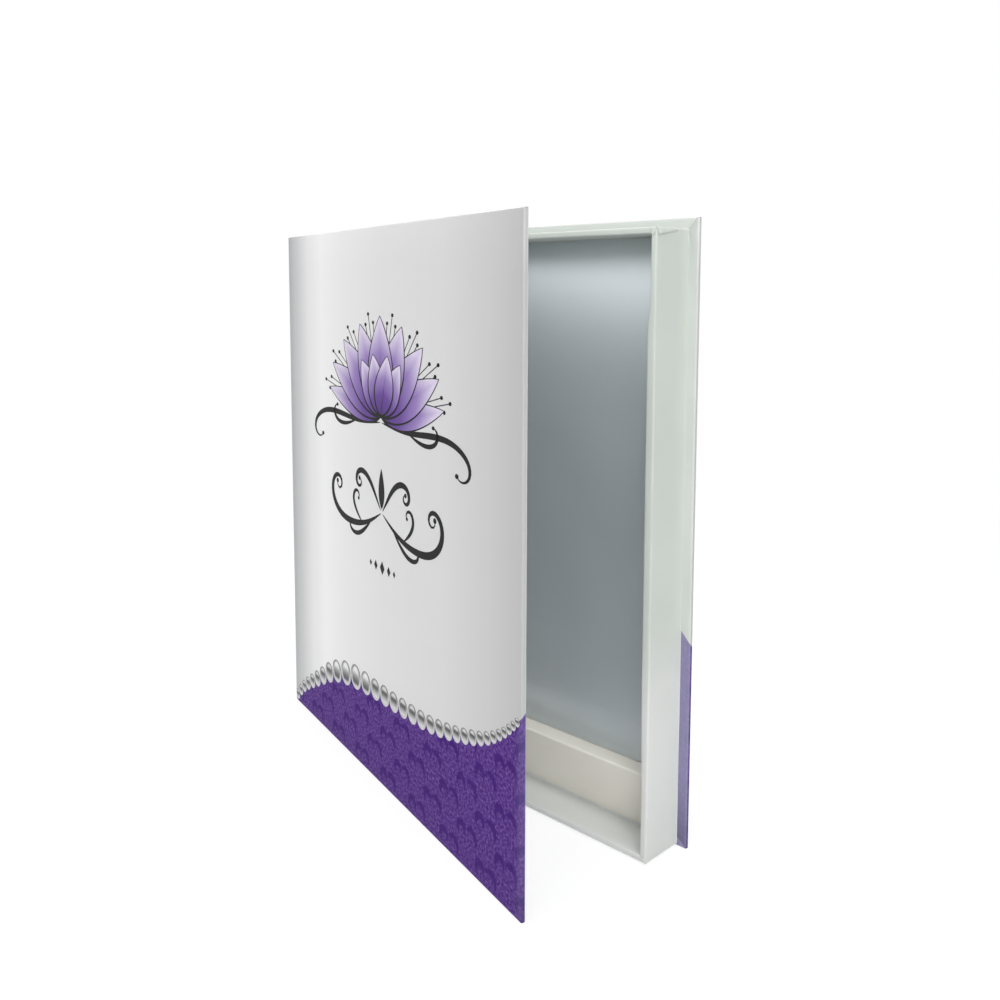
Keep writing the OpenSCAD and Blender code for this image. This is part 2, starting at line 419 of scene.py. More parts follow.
def comma_pattern(look, uv):
    """Mask of the staggered rows of commas, with outlines that wander a little."""
    wobble = look.add("TexNoise", Vector=uv, Scale=900, Detail=2).outputs[1]
    spread = (COMMA_WANDER, COMMA_WANDER, 0)
    shaken = look.math("MULTIPLY_ADD", wobble, spread, uv, kind="VectorMath")
    u, v = look.split(shaken)[:2]
    mask = 0
    for shift in (0, 0.5):
        x, y = (
            look.math("WRAP", look.math("ADD", way, shift * pitch - start), pitch / 2, -pitch / 2)
            for way, pitch, start in zip((u, v), MOTIF_PITCHES, MOTIF_START)
        )
        for comma in COMMAS:
            mask = look.math("MAXIMUM", mask, comma_mask(look, x, y, *comma))
    return mask


def purple_look(name, glare_share):
    """Purple print, paled with lavender as painted glare towards the fore edge; the second argument
    is how much lavender lies over all of it, as painted glare.
    """
    look = Look(name)
    uv = look.uv()
    mask = comma_pattern(look, uv)
    mottle = look.noise(uv, 1150, 2, 0.5)
    ground = look.ramp(mottle, PURPLE_GROUND)
    motif = look.ramp(mottle, PURPLE_MOTIF)
    colour = look.mix(look.times(mask, COMMA_STRENGTH), ground, motif)
    across = look.split(uv)[0]
    # Painted highlight: lavender glare laid over the purple near the fore edge
    edge_glare = look.between(
        across, COVER_W - EDGE_GLARE_W, COVER_W, 0, EDGE_GLARE_SHARE, smooth=True
    )
    pale = look.math("MAXIMUM", edge_glare, glare_share)
    return look.surface(
        Base_Color=look.mix(pale, colour, GLARE_LAVENDER), Roughness=0.6, Specular_IOR_Level=0.08,
        Normal=look.bump(mottle, 0.02 * MM, 0.3),
    )


# Greys up a pearl, within it and along its edge
PEARL_GREYS = {
    "dark_top": [
        (0.08, 196), (0.22, 212), (0.38, 168), (0.53, 92), (0.61, 54), (0.70, 112), (0.76, 200),
        (0.88, 222),
    ],
    "bright_top": [
        (0.08, 196), (0.17, 188), (0.21, 110), (0.28, 56), (0.42, 98), (0.58, 160), (0.72, 226),
        (0.86, 240),
    ],
}
PEARL_EDGE = [(0.0, 206), (0.45, 190), (0.75, 128), (1.0, 112)]
# How much taller than wide a pearl's greys are, and where its edge sets in
PEARL_TALLER = 1.25
PEARL_RING = (0.68, 1.0)


def pearl_look(name, greys):
    """A printed pearl: a dark spot that runs out into paler grey, and a ring round it."""
    look = Look(name)
    x, y = look.split(look.uv())[:2]
    up = look.math("MULTIPLY_ADD", y, 0.5, 0.5)
    wide = look.times(x, PEARL_TALLER)
    ring = look.between(look.distance(wide, y), *PEARL_RING, smooth=True)
    colour = look.mix(ring, look.ramp(up, greys), look.ramp(up, PEARL_EDGE))
    return look.surface(Base_Color=colour, Roughness=0.4, Specular_IOR_Level=0.25)


PETAL_STOPS = [(0.10, 66, 26, 114), (0.38, 94, 58, 142), (0.66, 148, 124, 184), (0.95, 218, 208, 230)]


def petal_look():
    """Dark purple at the foot and along the middle, and pale at the tip."""
    look = Look("print_petal")
    across, along = look.split(look.uv())[:2]
    side = look.math("ABSOLUTE", look.math("SUBTRACT", across, 0.5))
    shade = look.math("ADD", along, look.times(side, 0.25))
    colour = look.ramp(shade, PETAL_STOPS)
    return look.surface(Base_Color=colour, Roughness=0.45, Specular_IOR_Level=0.2)


def ink_look():
    look = Look("print_black")
    grain = look.noise(look.place(), 1500, 2)
    colour = look.ramp(grain, [(0.3, 14), (0.7, 22)])
    return look.surface(Base_Color=colour, Roughness=0.5, Specular_IOR_Level=0.12)


def paper_look(name, light, dark, roughness, grain_depth, on_uv=False, painted_shade=None):
    """Uncoated paper with a faint cloudy tone and a fine fibre grain.

    The optional colour and two heights paint shade: the colour multiplies the paper, setting in
    between the two heights.
    """
    look = Look(name)
    place = look.uv() if on_uv else look.place()
    cloud = look.noise(place, 28, 3, 0.55)
    colour = look.ramp(cloud, [(0.35, *dark), (0.65, *light)])
    # Painted shade: the paper darkens and greens upwards between the two heights
    if painted_shade:
        shade_levels, low, high = painted_shade
        share = look.between(look.split(place)[2], low, high, smooth=True)
        colour = look.mix(share, colour, srgb(*shade_levels), "MULTIPLY")
    fibre = look.noise(look.stretched(place, (1, 1, 0.45)), 2200, 5, 0.65)
    wave = look.noise(place, 55, 2)
    height = look.math("MULTIPLY_ADD", wave, 4, fibre)
    return look.surface(
        Base_Color=colour, Roughness=roughness,
        Normal=look.bump(height, grain_depth, 0.5),
    )


# Height past which the sheet leans back, by what slope, and how gently that begins
STEEL_TOP_LEAN = (119 * MM, 0.21, 26 * MM)
STEEL_FOOT_LEAN = (33 * MM, 0.22, 7 * MM)
# Where the lower of these fades out towards the fore edge
STEEL_LEAN_FADES = (25 * MM, 78 * MM)


def steel_bow(look, place):
    """How far the sheet leans back, towards its top and its lower edge."""
    across, _, height = look.split(place)

    def lean(high, low, slope, soft):
        past = look.math("SMOOTH_MAX", look.math("SUBTRACT", high, low), 0, soft)
        return look.times(past, -slope)

    top, *top_bend = STEEL_TOP_LEAN
    foot, *foot_bend = STEEL_FOOT_LEAN
    share = look.between(across, *STEEL_LEAN_FADES, 1, 0, smooth=True)
    low = look.times(lean(foot, height, *foot_bend), share)
    return look.math("ADD", lean(height, top, *top_bend), low)


def steel_look():
    """Satin sheet that bows out a little in the middle of its height."""
    look = Look("satin_steel")
    place = look.place()
    bow = look.bump(steel_bow(look, place), 1.0)
    cloud = look.noise(place, 16, 2, 0.5)
    grain = look.noise(look.stretched(place, (1, 1, 0.06)), 3000, 3, 0.6)
    colour = look.ramp(cloud, [(0.3, 192, 200, 204), (0.7, 204, 211, 214)])
    rough = look.math("MULTIPLY_ADD", grain, 0.06, 0.42)
    fine = look.math("MULTIPLY_ADD", cloud, 60, grain)
    return look.surface(
        Base_Color=colour, Metallic=0.72, Roughness=rough,
        Normal=look.bump(fine, 0.004 * MM, 0.5, Normal=bow),
    )


def board_look():
    """Grey board with dark flecks."""
    look = Look("grey_board")
    place = look.place()
    fibre = look.noise(place, 1800, 5, 0.7)
    fleck = look.ramp(look.noise(place, 420, 2), [(0.66, 0), (0.72, 255)])
    colour = look.ramp(fibre, [(0.3, 128, 120, 108), (0.7, 166, 158, 146)])
    colour = look.mix(fleck, colour, srgb(110, 98, 84))
    return look.surface(Base_Color=colour, Roughness=0.9, Normal=look.bump(fibre, 0.05 * MM, 0.6))


def magnet_look():
    look = Look("nickel_magnet")
    scratches = look.noise(look.stretched(look.place(), (1, 1, 0.05)), 2500, 3)
    rough = look.math("MULTIPLY_ADD", scratches, 0.15, 0.22)
    return look.surface(Base_Color=srgb(176, 176, 178), Metallic=1, Roughness=rough)


SILVER = silver_look()
PURPLE = purple_look("print_purple", 0.0)
# Paler copy of the purple for the turned-in paper, as painted glare
PURPLE_TURNED_IN_GLARE = purple_look("print_purple_turned_in_painted_glare", TURN_IN_GLARE_SHARE)
SILVER_TURNED_IN = paper_look(
    "print_silver_turned_in", (211, 215, 211), (204, 208, 204), 0.5, 0.015 * MM, True
)
PEARLS = [pearl_look("print_pearl_" + name, greys) for name, greys in PEARL_GREYS.items()]
PETAL = petal_look()
INK = ink_look()
# The tray paper is painted darker and greener above mid height, as painted shade
TRAY_PAPER = paper_look(
    "tray_paper", (219, 221, 219), (213, 216, 213), 0.62, 0.02 * MM,
    painted_shade=((236, 241, 236), 44 * MM, 74 * MM),
)
LINING_PAPER = paper_look("lining_paper", (237,), (234,), 0.7, 0.02 * MM)
CARD = paper_look("ivory_card", (240, 236, 226), (235, 231, 221), 0.6, 0.015 * MM)
STEEL = steel_look()
BOARD = board_look()
MAGNET = magnet_look()

# Printed case wrap

# Upper edge of the band: distance from the fold and height, in mm
BAND_EDGE_MM = [
    (0, 0.6), (9.4, 8.2), (25, 16.7), (40, 24.2), (56, 28.2), (72, 29.8),
    (94, 31.2), (113, 33.0), (130, 36.5), (146, 41.6), (156, 47.3), (164, 54),
]
BAND_RISE_PAST_EDGE = 1.1
# How much higher the band ends on the back cover, and where that sets in
BACK_BAND_LIFT = 5.5 * MM
BAND_LIFT_FROM = 0.3 * COVER_W

FOLD_R = 0.5 * MM
FOLD_STEPS = 6
EDGE_STEPS = 4
# Rings across the turned-in paper, as shares of its width
FLAP_SHARES = (0.08, 0.2, 0.5, 1)
TURN_IN_DEPTH_AT_FOLD = 0.36 * MM
FLAT_PAST_MITRE = 0.12 * MM
CLEAR_OF_MITRE = 1 * MM
HALF_SEAM = 0.04 * MM
FACE_END = COVER_W - EDGE_R
SPINE_COLUMNS = 3
COVER_COLUMNS = 56
# The last columns of points, by their distance from the fore edge in mm
FORE_COLUMNS = [COVER_W - k * MM for k in (13, 10, 7, 4, 2)]
FLAT_FROM = COVER_T + FLAT_PAST_MITRE
# Steps along a wrap, from the spine's middle to near the fore edge, as (kind, distance)
STATIONS = (
    [("spine", u) for u in steps(SPINE_W / 2, FLAT_FROM, SPINE_COLUMNS)]
    + [("fold", k) for k in range(FOLD_STEPS + 1)]
    + [("cover", u) for u in steps(FLAT_FROM, COVER_W - TURN_IN_W - CLEAR_OF_MITRE, COVER_COLUMNS)]
)
FACE_STATIONS = STATIONS + [("cover", u) for u in FORE_COLUMNS + [FACE_END]]
# Rows of points, as shares of the way up to the band's edge and past it
ROWS_IN_BAND = (0, 0.32, 0.5, 0.75, 1)
ROWS_ABOVE_BAND = (0.06, 0.2, 0.36, 0.52, 0.68, 0.84, 0.93)
FACES_IN_BAND = len(ROWS_IN_BAND) - 1
FACES_ABOVE_BAND = len(ROWS_ABOVE_BAND) + 1
WRAP_LOOKS = [SILVER, PURPLE, SILVER_TURNED_IN, PURPLE_TURNED_IN_GLARE]
# Silver's and purple's places in that list
OUTER_LOOKS = (0, 1)
INNER_LOOKS = (2, 3)


def band_curve(u):
    """Height of the band's edge: a smooth curve through its points."""
    pts = [(a * MM, b * MM) for a, b in BAND_EDGE_MM]
    if u <= 0:
        return pts[0][1]
    k = max(i for i in range(len(pts) - 1) if pts[i][0] <= u)
    (x1, y1), (x2, y2) = pts[k], pts[k + 1]
    x0, y0 = pts[k - 1] if k else (2 * x1 - x2, 2 * y1 - y2)
    x3, y3 = pts[k + 2] if k + 2 < len(pts) else (2 * x2 - x1, 2 * y2 - y1)
    slope_1 = (y2 - y0) / (x2 - x0)
    slope_2 = (y3 - y1) / (x3 - x1)
    t = (u - x1) / (x2 - x1)
    step = x2 - x1
    return (
        (2 * t**3 - 3 * t**2 + 1) * y1 + (t**3 - 2 * t**2 + t) * step * slope_1
        + (3 * t**2 - 2 * t**3) * y2 + (t**3 - t**2) * step * slope_2
    )


def band_height(u, lift=0):
    """The same height, lifted towards the fore edge."""
    return band_curve(u) + lift * smooth_step(u, BAND_LIFT_FROM, COVER_W)


def edge_profile():
    """Inset from the free edge and depth, from the outer face round onto the inner side."""
    turns = quarter_round(EDGE_R, EDGE_STEPS)
    outer = [(inset, w) for w, inset in turns]
    inner = [(inset, COVER_T - off) for inset, off in turns]
    flap = [(share * TURN_IN_W, COVER_T) for share in FLAP_SHARES]
    return outer + inner + flap


def fold_place(leaf, step, w, z):
    """A step round the fold's outer corner, at a depth below the outer face and a height."""
    half = math.acos(leaf.along.dot(leaf.spine.along)) / 2
    bisector = (leaf.along + leaf.spine.along).normalized()
    plan = leaf.fold + bisector * (max(w, FOLD_R) / math.sin(half))
    if w < FOLD_R:
        start, end = -leaf.spine.inward, -leaf.inward
        out = turned(start, end, math.acos(start.dot(end)), step / FOLD_STEPS)
        plan += out * (FOLD_R - w)
    return Vector((plan.x, plan.y, z))


def along_print(station):
    """How far along the printed sheet a station lies, from the fold."""
    kind, value = station
    if kind == "spine":
        return -value
    if kind == "fold":
        return (value / FOLD_STEPS - 0.5) * 2 * FOLD_R
    return value


class CaseWrap:
    """Print over half the spine and one cover, round its edges and onto its inner side."""

    def __init__(self, leaf, lift=0):
        self.leaf, self.lift, self.grid = leaf, lift, Grid()
        self.turn_in(self.outer_face())

    def point(self, station, w, z, v):
        """A point over a station, at a depth and a height, with its place v up the print."""
        kind, value = station
        if kind == "fold":
            place = fold_place(self.leaf, value, w, z)
        else:
            place = (self.leaf.spine if kind == "spine" else self.leaf).at(value, w, z)
        return self.grid.point(place, (along_print(station), v))

    def row_heights(self, u):
        """Heights of the outer face's points, whose rows keep to the band's edge."""
        edge = band_height(u, self.lift)
        bottom, top = EDGE_R, COVER_H - EDGE_R
        heights = [bottom + (edge - bottom) * share for share in ROWS_IN_BAND]
        heights += [edge + (top - edge) * share for share in ROWS_ABOVE_BAND] + [top]
        if u > FACE_END - TURN_IN_W:
            heights[-2] = min(heights[-2], COVER_H - TURN_IN_W - CLEAR_OF_MITRE)
        return heights

    def outer_face(self):
        """Columns of points over the outer face."""
        columns = [
            [self.point(station, 0, z, z) for z in self.row_heights(along_print(station))]
            for station in FACE_STATIONS
        ]
        silver, purple = OUTER_LOOKS
        for (kind, _), left, right in zip(FACE_STATIONS, columns, columns[1:]):
            band = purple if kind == "cover" else silver
            self.grid.strip(left, right, [band] * FACES_IN_BAND + [silver] * FACES_ABOVE_BAND)
        return columns

    def long_rings(self, inset, w, walked, gap):
        """Points along the lower and the upper edge, at one step of the profile."""
        # Columns past the flap's mitre gather at the corner
        corner = COVER_W - inset - gap
        fore = [min(u, corner) for u in FORE_COLUMNS] + [corner]
        edges = ((inset, EDGE_R - walked), (COVER_H - inset, COVER_H - EDGE_R + walked))
        rings = [], []
        for station in STATIONS + [("cover", u) for u in fore]:
            deep = TURN_IN_DEPTH_AT_FOLD if gap and station[0] == "fold" else w
            for ring, (z, v) in zip(rings, edges):
                ring.append(self.point(station, deep, z, v))
        return rings

    def fore_ring(self, heights, inset, w, walked, gap):
        """Points up the fore edge, at one step of the profile."""
        edge = band_height(COVER_W, self.lift)
        rise = BAND_RISE_PAST_EDGE * walked
        lifted = [z + rise * min(z / edge, (COVER_H - z) / (COVER_H - edge)) for z in heights]
        lifted[0], lifted[-1] = inset + gap, COVER_H - inset - gap
        return [
            self.grid.point(self.leaf.at(COVER_W - inset, w, place), (FACE_END + walked, z))
            for place, z in zip(lifted, heights)
        ]

    def join_rings(self, before, after, looks):
        silver, purple = looks
        low = [purple if kind == "cover" else silver for kind, _ in FACE_STATIONS[:-1]]
        self.grid.strip(before[0], after[0], low)
        self.grid.strip(after[1], before[1], silver)
        fore = [purple] * FACES_IN_BAND + [silver] * FACES_ABOVE_BAND
        self.grid.strip(before[2], after[2], fore)

    def turn_in(self, columns):
        """Rings round the three free edges and onto the inner side."""
        profile = edge_profile()
        heights = [self.grid.points[p].z for p in columns[-1]]
        before = [c[0] for c in columns], [c[-1] for c in columns], columns[-1]
        walked = 0
        for k, (inset, w) in enumerate(profile[1:], 1):
            walked += math.hypot(inset - profile[k - 1][0], w - profile[k - 1][1])
            gap = HALF_SEAM if k > 2 * EDGE_STEPS + 1 else 0
            step = inset, w, walked, gap
            after = *self.long_rings(*step), self.fore_ring(heights, *step)
            self.join_rings(before, after, INNER_LOOKS if k > EDGE_STEPS + 1 else OUTER_LOOKS)
            before = after

    def piece(self, name, flip):
        piece = self.grid.piece(name, WRAP_LOOKS, flip=flip)
        add_thickness(piece, PAPER_T)
        blend_over_fold(piece, self.leaf)
        return piece


def blend_over_fold(piece, leaf):
    """The piece's placement is baked into its mesh."""
    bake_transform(piece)


front_wrap = CaseWrap(front_leaf).piece("printed_wrap_front", flip=True)
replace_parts(front_wrap, "front_cover_wrap", "spine_wrap")
back_wrap = CaseWrap(back_leaf, BACK_BAND_LIFT).piece("printed_wrap_back", flip=False)
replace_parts(back_wrap, "back_cover_wrap")

# Printed pearls

# Distance from the fold and diameter of the pearls, in mm
PEARL_SIZES_MM = [
    (0, 3.8), (20, 5.6), (38, 7.6), (48, 8.6), (62, 8.6), (74, 7.2), (107, 6.0),
    (140, 4.4), (155, 3.0), (164, 2.2),
]
# Pearls larger than this are bright above and dark below
PEARL_BRIGHT_FROM = 7.4 * MM
FIRST_PEARL = 2.4 * MM
LAST_PEARL = COVER_W - 1.6 * MM
# Spacing and height above the band's edge, as shares of a pearl's size
PEARL_SPACING = 1.02
PEARL_ABOVE_EDGE = 0.06
PEARL_ABOVE_FOOT = 0.2 * MM
PEARL_CLEARANCE = 0.03 * MM
PEARL_RISE = 0.05 * MM
PEARL_SIDES = 28
PEARL_RINGS = (1, 0.85, 0.6, 0.3)


def interpolated(table, x):
    """Straight-line value from a table of (place, value) pairs."""
    for (x1, y1), (x2, y2) in zip(table, table[1:]):
        if x <= x2:
            return y1 + (y2 - y1) * (x - x1) / (x2 - x1)
    return table[-1][1]


def pearl_places(lift):
    """Distance from the fold, height and diameter of each pearl."""
    u = FIRST_PEARL
    while u < LAST_PEARL:
        size = interpolated(PEARL_SIZES_MM, u / MM) * MM
        z = band_height(u, lift) + PEARL_ABOVE_EDGE * size
        yield u, max(z, size / 2 + PEARL_ABOVE_FOOT), size
        following = interpolated(PEARL_SIZES_MM, (u + size) / MM) * MM
        slope = (band_height(u + size, lift) - band_height(u, lift)) / size
        u += (size + following) / 2 * PEARL_SPACING / math.hypot(1, slope)


def add_pearl(grid, leaf, u, z, size):
    """A low dome, raised like thick ink."""
    look = 1 if size > PEARL_BRIGHT_FROM else 0
    rings = []
    for share in PEARL_RINGS:
        rise = PEARL_CLEARANCE + PEARL_RISE * (1 - share**2)
        places = [(x * share, y * share) for x, y in circle(PEARL_SIDES)]
        rings.append([
            grid.point(leaf.at(u + x * size / 2, -rise, z + y * size / 2), (x, y)) for x, y in places
        ])
    grid.sheet(rings, look)
    hub = grid.point(leaf.at(u, -PEARL_CLEARANCE - PEARL_RISE, z))
    for a, b in zip(rings[-1], rings[-1][1:]):
        grid.face([a, b, hub], look)


def pearl_string(name, leaf, flip, lift=0):
    grid = Grid()
    for place in pearl_places(lift):
        add_pearl(grid, leaf, *place)
    piece = grid.piece(name, PEARLS, flip=flip)
    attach(piece, leaf.body)


pearl_string("printed_pearls_front", front_leaf, flip=False)
pearl_string("printed_pearls_back", back_leaf, flip=True, lift=BACK_BAND_LIFT)

# Printed ornament on the front cover, in millimetres about its middle line

ORNAMENT_MIDDLE = 82
# Angle from upright, length, width and bend of each pair of petals, hindmost first
PETALS = [
    (84, 30, 9, -3), (66, 31, 11, -2.5), (44, 31, 12, -1.5), (22, 31, 12.5, -0.8),
    (0, 32, 13, 0), (33, 20, 9.5, -1), (12, 20, 9.5, -0.4),
]
PETAL_SHARES = steps(0, 1, 16)
PETAL_ACROSS = (-1, -0.5, 0, 0.5, 1)
PETAL_LINE_ROWS = 11
# Angles of the tufts, and the turn and reach of each stamen in a tuft
STAMEN_TUFTS = (11, 33, 55, 75)
STAMENS = ((-4, 30), (0, 33), (4, 30))
STAMEN_FROM = (14, 20, 26)
STAMEN_W = 0.3
STAMEN_TIP_R = 0.62
# Start, heading in degrees, length, curvatures passed through and width of scrolls
LOTUS_SCROLLS = [
    (0.5, -2, -8, 50, (0.0, 0.025, -0.02, -0.09, -0.45), 1.7),
    (14, -3.4, -20, 18, (-0.02, 0.12, 0.5), 1.2),
]
FLOURISH_SCROLLS = [
    (0.6, 14, -30, 58, (0.0, 0.03, 0.03, 0.10, 0.22, 0.7), 2.1),
    (0.6, 15, 50, 30, (0.02, -0.02, -0.12, -0.35, -0.9), 1.7),
    (13.5, 8.4, 35, 17, (0.01, 0.08, 0.35, 0.8), 1.2),
    (7.0, 10.4, -42, 22, (0.0, 0.04, 0.16, 0.9), 1.3),
]
SCROLL_STEPS = 48
SCROLL_THIN_W = 0.22
# Height, length and width of the small leaf in the flourish
FLOURISH_LEAF = (15.5, 13, 3.8)
# Place and half width of each lozenge under the flourish
LOZENGES = [(0, 1.5), (4.2, 1.1), (7.6, 0.75)]
LOZENGE_HEIGHT = -3.5
LOZENGE_TALLER = 1.5
DOT_SIDES = 14
INK_CLEARANCE = 0.02 * MM
INK_LAYER = 0.004 * MM


class Print:
    """Flat printed shapes on the front cover, each new layer a little further out."""

    def __init__(self, height, stretch):
        self.grid, self.height, self.stretch, self.layer = Grid(), height, stretch, 0

    def point(self, x, z, uv=(0, 0)):
        out = INK_CLEARANCE + INK_LAYER * self.layer
        u = (ORNAMENT_MIDDLE + x * self.stretch[0]) * MM
        height = (self.height + z * self.stretch[1]) * MM
        return self.grid.point(front_leaf.at(u, -out, height), uv)

    def stroke(self, path, width):
        """A line of changing width: width takes a share of the way and gives millimetres."""
        left, right = [], []
        for k, (x, z) in enumerate(path):
            x0, z0 = path[max(k - 1, 0)]
            x1, z1 = path[min(k + 1, len(path) - 1)]
            far = math.hypot(x1 - x0, z1 - z0)
            half = width(k / (len(path) - 1)) / 2
            nx, nz = -(z1 - z0) / far * half, (x1 - x0) / far * half
            left.append(self.point(x + nx, z + nz))
            right.append(self.point(x - nx, z - nz))
        self.grid.strip(right, left)

    def dot(self, x, z, radius, sides=DOT_SIDES, taller=1):
        """A filled round, or a lozenge with four sides."""
        self.grid.face([
            self.point(x + radius * dx, z + radius * dz * taller) for dx, dz in circle(sides)[:-1]
        ])

    def scrolls(self, x, z, heading, length, bends, width):
        """Two mirrored lines that swell in their middle and end in a dot."""
        half = scroll_path(x, z, heading, length, bends)
        for side in (-1, 1):
            path = [(side * px, pz) for px, pz in half]
            self.stroke(path, lambda t: width * math.sin(math.pi * t) ** 0.8 + SCROLL_THIN_W)
            self.dot(*path[-1], 0.26 * width + 0.3)

    def done(self, name, looks):
        piece = self.grid.piece(name, looks)
        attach(piece, "front_cover")


def scroll_path(x, z, heading, length, bends):
    """A path whose curvature goes evenly through bends, in 1/mm."""
    path = [(x, z)]
    angle = math.radians(heading)
    step = length / SCROLL_STEPS
    for k in range(SCROLL_STEPS):
        place = (k + 0.5) / SCROLL_STEPS * (len(bends) - 1)
        angle += interpolated(list(enumerate(bends)), place) * step
        x += math.cos(angle) * step
        z += math.sin(angle) * step
        path.append((x, z))
    return path


def petal_rows(angle, length, width, bend):
    """Rows of places across a petal that stands at an angle from upright."""
    sine, cosine = math.sin(math.radians(angle)), math.cos(math.radians(angle))
    rows = []
    for t in PETAL_SHARES:
        half = width / 2 * math.sin(math.pi * t**0.8) ** 0.85
        z = t * length
        across = [bend * t * t + share * half for share in PETAL_ACROSS]
        rows.append([(x * cosine + z * sine, -x * sine + z * cosine) for x in across])
    return rows


def print_petal(art, *petal):
    """A petal with its outline and its middle line over it."""
    rows = petal_rows(*petal)
    last = len(PETAL_ACROSS) - 1
    art.layer += 1
    art.grid.sheet([
        [art.point(x, z, (j / last, t)) for j, (x, z) in enumerate(row)]
        for t, row in zip(PETAL_SHARES, rows)
    ], 1)
    art.layer += 1
    for side in (0, last):
        art.stroke([row[side] for row in rows], lambda t: 0.55 * (1 - t) + 0.22)
    art.stroke([row[last // 2] for row in rows[:PETAL_LINE_ROWS]], lambda t: 0.28 * (1 - t) + 0.04)


def print_stamens(art):
    for angle in STAMEN_TUFTS:
        for side in (-1, 1):
            for turn, reach in STAMENS:
                a = side * math.radians(angle + turn)
                path = [(r * math.sin(a), r * math.cos(a)) for r in (*STAMEN_FROM, reach)]
                art.stroke(path, lambda t: STAMEN_W)
                art.dot(*path[-1], STAMEN_TIP_R)


def print_lotus():
    art = Print(height=121, stretch=(1.42, 0.98))
    print_stamens(art)
    art.layer += 1
    for scroll in LOTUS_SCROLLS:
        art.scrolls(*scroll)
    for angle, length, width, bend in PETALS:
        for side in ((-1, 1) if angle else (1,)):
            print_petal(art, angle * side, length, width, bend * side)
    art.done("printed_lotus", [INK, PETAL])


def print_flourish():
    art = Print(height=76, stretch=(1.15, 1))
    for scroll in FLOURISH_SCROLLS:
        art.layer += 1
        art.scrolls(*scroll)
    up, length, width = FLOURISH_LEAF
    rows = petal_rows(0, length, width, 0)[::-1]
    left, right = ([art.point(row[end][0], row[end][1] + up) for row in rows] for end in (0, -1))
    art.grid.strip(left, right)
    for place, half in LOZENGES:
        for side in ((-1, 1) if place else (1,)):
            art.dot(place * side, LOZENGE_HEIGHT, half, 4, LOZENGE_TALLER)
    art.done("printed_flourish", [INK])


print_lotus()
print_flourish()

# Paper over the tray's walls

TRAY_LOW, TRAY_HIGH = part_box("tray_wrap")
LEDGE_LOW, LEDGE_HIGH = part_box("card_ledge")
FLOOR_Y = LEDGE_HIGH.y
RIM_Y = TRAY_LOW.y
WALL_T = 1.8 * MM
TRAY_PAPER_T = 0.12 * MM
RIM_OUTER_R = 0.5 * MM
RIM_INNER_R = 0.45 * MM
RIM_STEPS = 4
# Inset and height above the back cover of the paper's foot, in mm
TRAY_FOOT_MM = ((-0.25, 0.03), (-0.1, 0.1), (0, 0.3))
# Depths of the loops behind the rim: outside in mm, and inside as shares
OUTER_DEPTHS_MM = (10, 5, 1.6)
INNER_DEPTHS = (0.12, 0.3, 0.55, 0.8)
# Distances of the last loops from the wall and the floor, in mm
FLOOR_END_MM = ((0, 0.03), (0.26, 0.02))
LONG_STEPS = 60
SHORT_STEPS = 22
CORNER_STEPS = 4
CORNER_LEAST_R = 0.12 * MM
CORNER_INNER_R = 0.2 * MM
RIM_SEAM_DEPTH = 0.14 * MM
WALL_WAVE = 0.06 * MM
RIM_WAVE = 0.05 * MM
# Distances from a corner between which the waves set in
WAVES_FROM = (0.3 * MM, 4 * MM)
# The fore-edge wall's paper stands off its board below this height
SLACK_TOP = 154 * MM
SLACK = 0.8 * MM
SLACK_LOST_LOW = 0.55


def tray_profile():
    """Inset from the outer face and depth behind the rim, from the back cover to the floor."""
    deep = (TRAY_HIGH.y - RIM_Y) / MM
    outer = [(inset, deep - rise) for inset, rise in TRAY_FOOT_MM]
    outer += [(0, depth) for depth in OUTER_DEPTHS_MM]
    outer = [(inset * MM, depth * MM) for inset, depth in outer]
    over = quarter_round(RIM_OUTER_R, RIM_STEPS)
    down = [(WALL_T - off, depth) for depth, off in quarter_round(RIM_INNER_R, RIM_STEPS)]
    floor = FLOOR_Y - RIM_Y
    inner = [(WALL_T, share * floor) for share in INNER_DEPTHS]
    inner += [(WALL_T + off * MM, floor - rise * MM) for off, rise in FLOOR_END_MM]
    return outer + over + down + inner


def rim_slack(z, inset, depth):
    """How far the paper inside the fore-edge wall stands off its board."""
    across = smooth_step(inset, 0.6 * MM, WALL_T)
    down = 1 - smooth_step(depth, 3 * MM, 12 * MM)
    upper = smooth_step(SLACK_TOP - z, -2 * MM, 3 * MM)
    lower = 1 - SLACK_LOST_LOW * smooth_step(60 * MM - z, 0, 50 * MM)
    return SLACK * across * down * upper * lower


def tray_outline(x0, x1, z0, z1, r, seam):
    """Places and seam depths round the tray, anticlockwise from low on the right."""
    corners = [
        (x1 - r, z0 + r, -90), (x1 - r, z1 - r, 0), (x0 + r, z1 - r, 90), (x0 + r, z0 + r, 180)
    ]
    outline = []
    for k, (cx, cz, start) in enumerate(corners):
        for step in range(CORNER_STEPS + 1):
            a = math.radians(start + 90 * step / CORNER_STEPS)
            dx, dz = r * math.cos(a), r * math.sin(a)
            groove = seam if step == CORNER_STEPS // 2 else 0
            outline.append((cx + dx, cz + dz, groove))
        nx, nz, _ = corners[(k + 1) % 4]
        ends = (cx + dx, nx + dx), (cz + dz, nz + dz)
        for t in steps(0, 1, SHORT_STEPS if k % 2 else LONG_STEPS)[1:-1]:
            x, z = (first + (last - first) * t for first, last in ends)
            outline.append((x, z, 0))
    return outline


